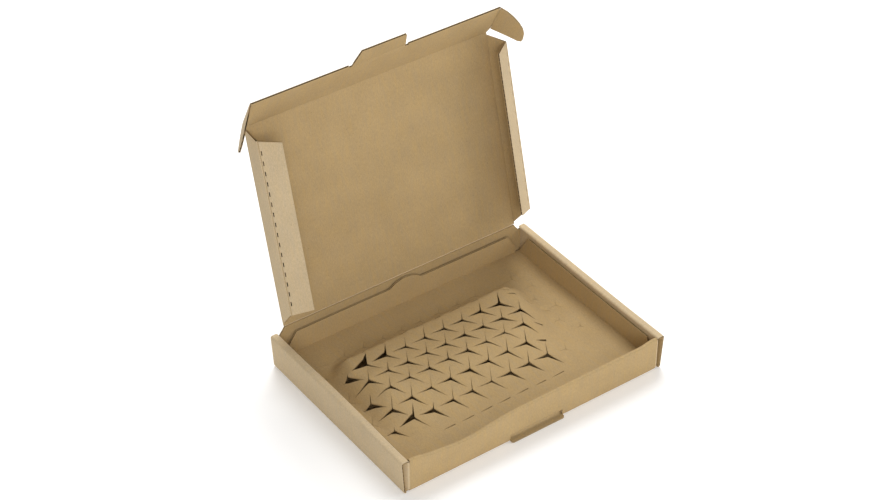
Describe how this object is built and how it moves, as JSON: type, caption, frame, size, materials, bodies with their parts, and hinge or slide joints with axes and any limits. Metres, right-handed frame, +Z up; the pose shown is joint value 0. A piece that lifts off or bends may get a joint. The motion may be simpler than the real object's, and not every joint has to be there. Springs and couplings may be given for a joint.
{
  "type": "retention packaging box",
  "caption": "Flat die-cut mailing box of brown corrugated board with an open tuck-in lid and a slit retention insert that grips what is packed under it.",
  "frame": {"origin": "middle of the underside of the base", "axes": "+Z up, -Y towards the front wall with the lock slot, +X to the right seen from the front"},
  "size_m": [0.2338, 0.1974, 0.2166],
  "materials": {
    "box_board": "matte",
    "lid_board": "matte",
    "insert_board": "matte"
  },
  "bodies": {
    "tray": {"tray": "box_board", "retention_insert": "insert_board"},
    "lid": {"lid": "lid_board"},
    "lid_side_left": {"lid_side_left": "lid_board"},
    "lid_side_right": {"lid_side_right": "lid_board"},
    "lid_flange_left": {"lid_flange_left": "lid_board"},
    "lid_flange_right": {"lid_flange_right": "lid_board"},
    "tuck_flap": {"tuck_flap": "lid_board"},
    "tuck_ear_left": {"tuck_ear_left": "lid_board"},
    "tuck_ear_right": {"tuck_ear_right": "lid_board"}
  },
  "joints": [
    {"name": "lid_hinge", "type": "hinge", "parent": "tray", "child": "lid", "pos_m": [0, 0.07775, 0.03125], "axis": [-1, 0, 0], "range_deg": [-98.8, 75.6]},
    {"name": "tuck_flap_fold", "type": "hinge", "parent": "lid", "child": "tuck_flap", "pos_m": [0, 0.11513, 0.17683], "axis": [1, 0, 0], "range_deg": [-47.1, 61.4]},
    {"name": "lid_side_left_fold", "type": "hinge", "parent": "lid", "child": "lid_side_left", "pos_m": [-0.09875, 0.07775, 0.03125], "axis": [0, 0.2487, 0.9686], "range_deg": [-2.8, 3.5]},
    {"name": "lid_side_right_fold", "type": "hinge", "parent": "lid", "child": "lid_side_right", "pos_m": [0.09875, 0.07775, 0.03125], "axis": [0, -0.2487, -0.9686], "range_deg": [-24.22, 31.5]},
    {"name": "lid_flange_left_fold", "type": "hinge", "parent": "lid_side_left", "child": "lid_flange_left", "pos_m": [-0.09926, 0.06371, 0.03485], "axis": [0, 0.2487, 0.9686], "range_deg": [-28.05, 36.5]},
    {"name": "lid_flange_right_fold", "type": "hinge", "parent": "lid_side_right", "child": "lid_flange_right", "pos_m": [0.106, 0.06559, 0.03437], "axis": [0, -0.2487, -0.9686], "range_deg": [-4.33, 5.5]},
    {"name": "tuck_ear_left_fold", "type": "hinge", "parent": "tuck_flap", "child": "tuck_ear_left", "pos_m": [-0.10075, 0.11513, 0.17683], "axis": [0, -0.454, 0.891], "range_deg": [-31.11, 40.5]},
    {"name": "tuck_ear_right_fold", "type": "hinge", "parent": "tuck_flap", "child": "tuck_ear_right", "pos_m": [0.10075, 0.11513, 0.17683], "axis": [0, 0.454, -0.891], "range_deg": [-31.11, 40.5]}
  ],
  "couplings": [
    {"joint": "tuck_flap_fold", "follows": "lid_hinge", "ratio": -0.6164},
    {"joint": "lid_side_left_fold", "follows": "lid_hinge", "ratio": -0.03036},
    {"joint": "lid_side_right_fold", "follows": "lid_hinge", "ratio": -0.31377},
    {"joint": "lid_flange_left_fold", "follows": "lid_hinge", "ratio": -0.36437},
    {"joint": "lid_flange_right_fold", "follows": "lid_hinge", "ratio": -0.05061},
    {"joint": "tuck_ear_left_fold", "follows": "lid_hinge", "ratio": -0.40486},
    {"joint": "tuck_ear_right_fold", "follows": "lid_hinge", "ratio": -0.40486}
  ]
}
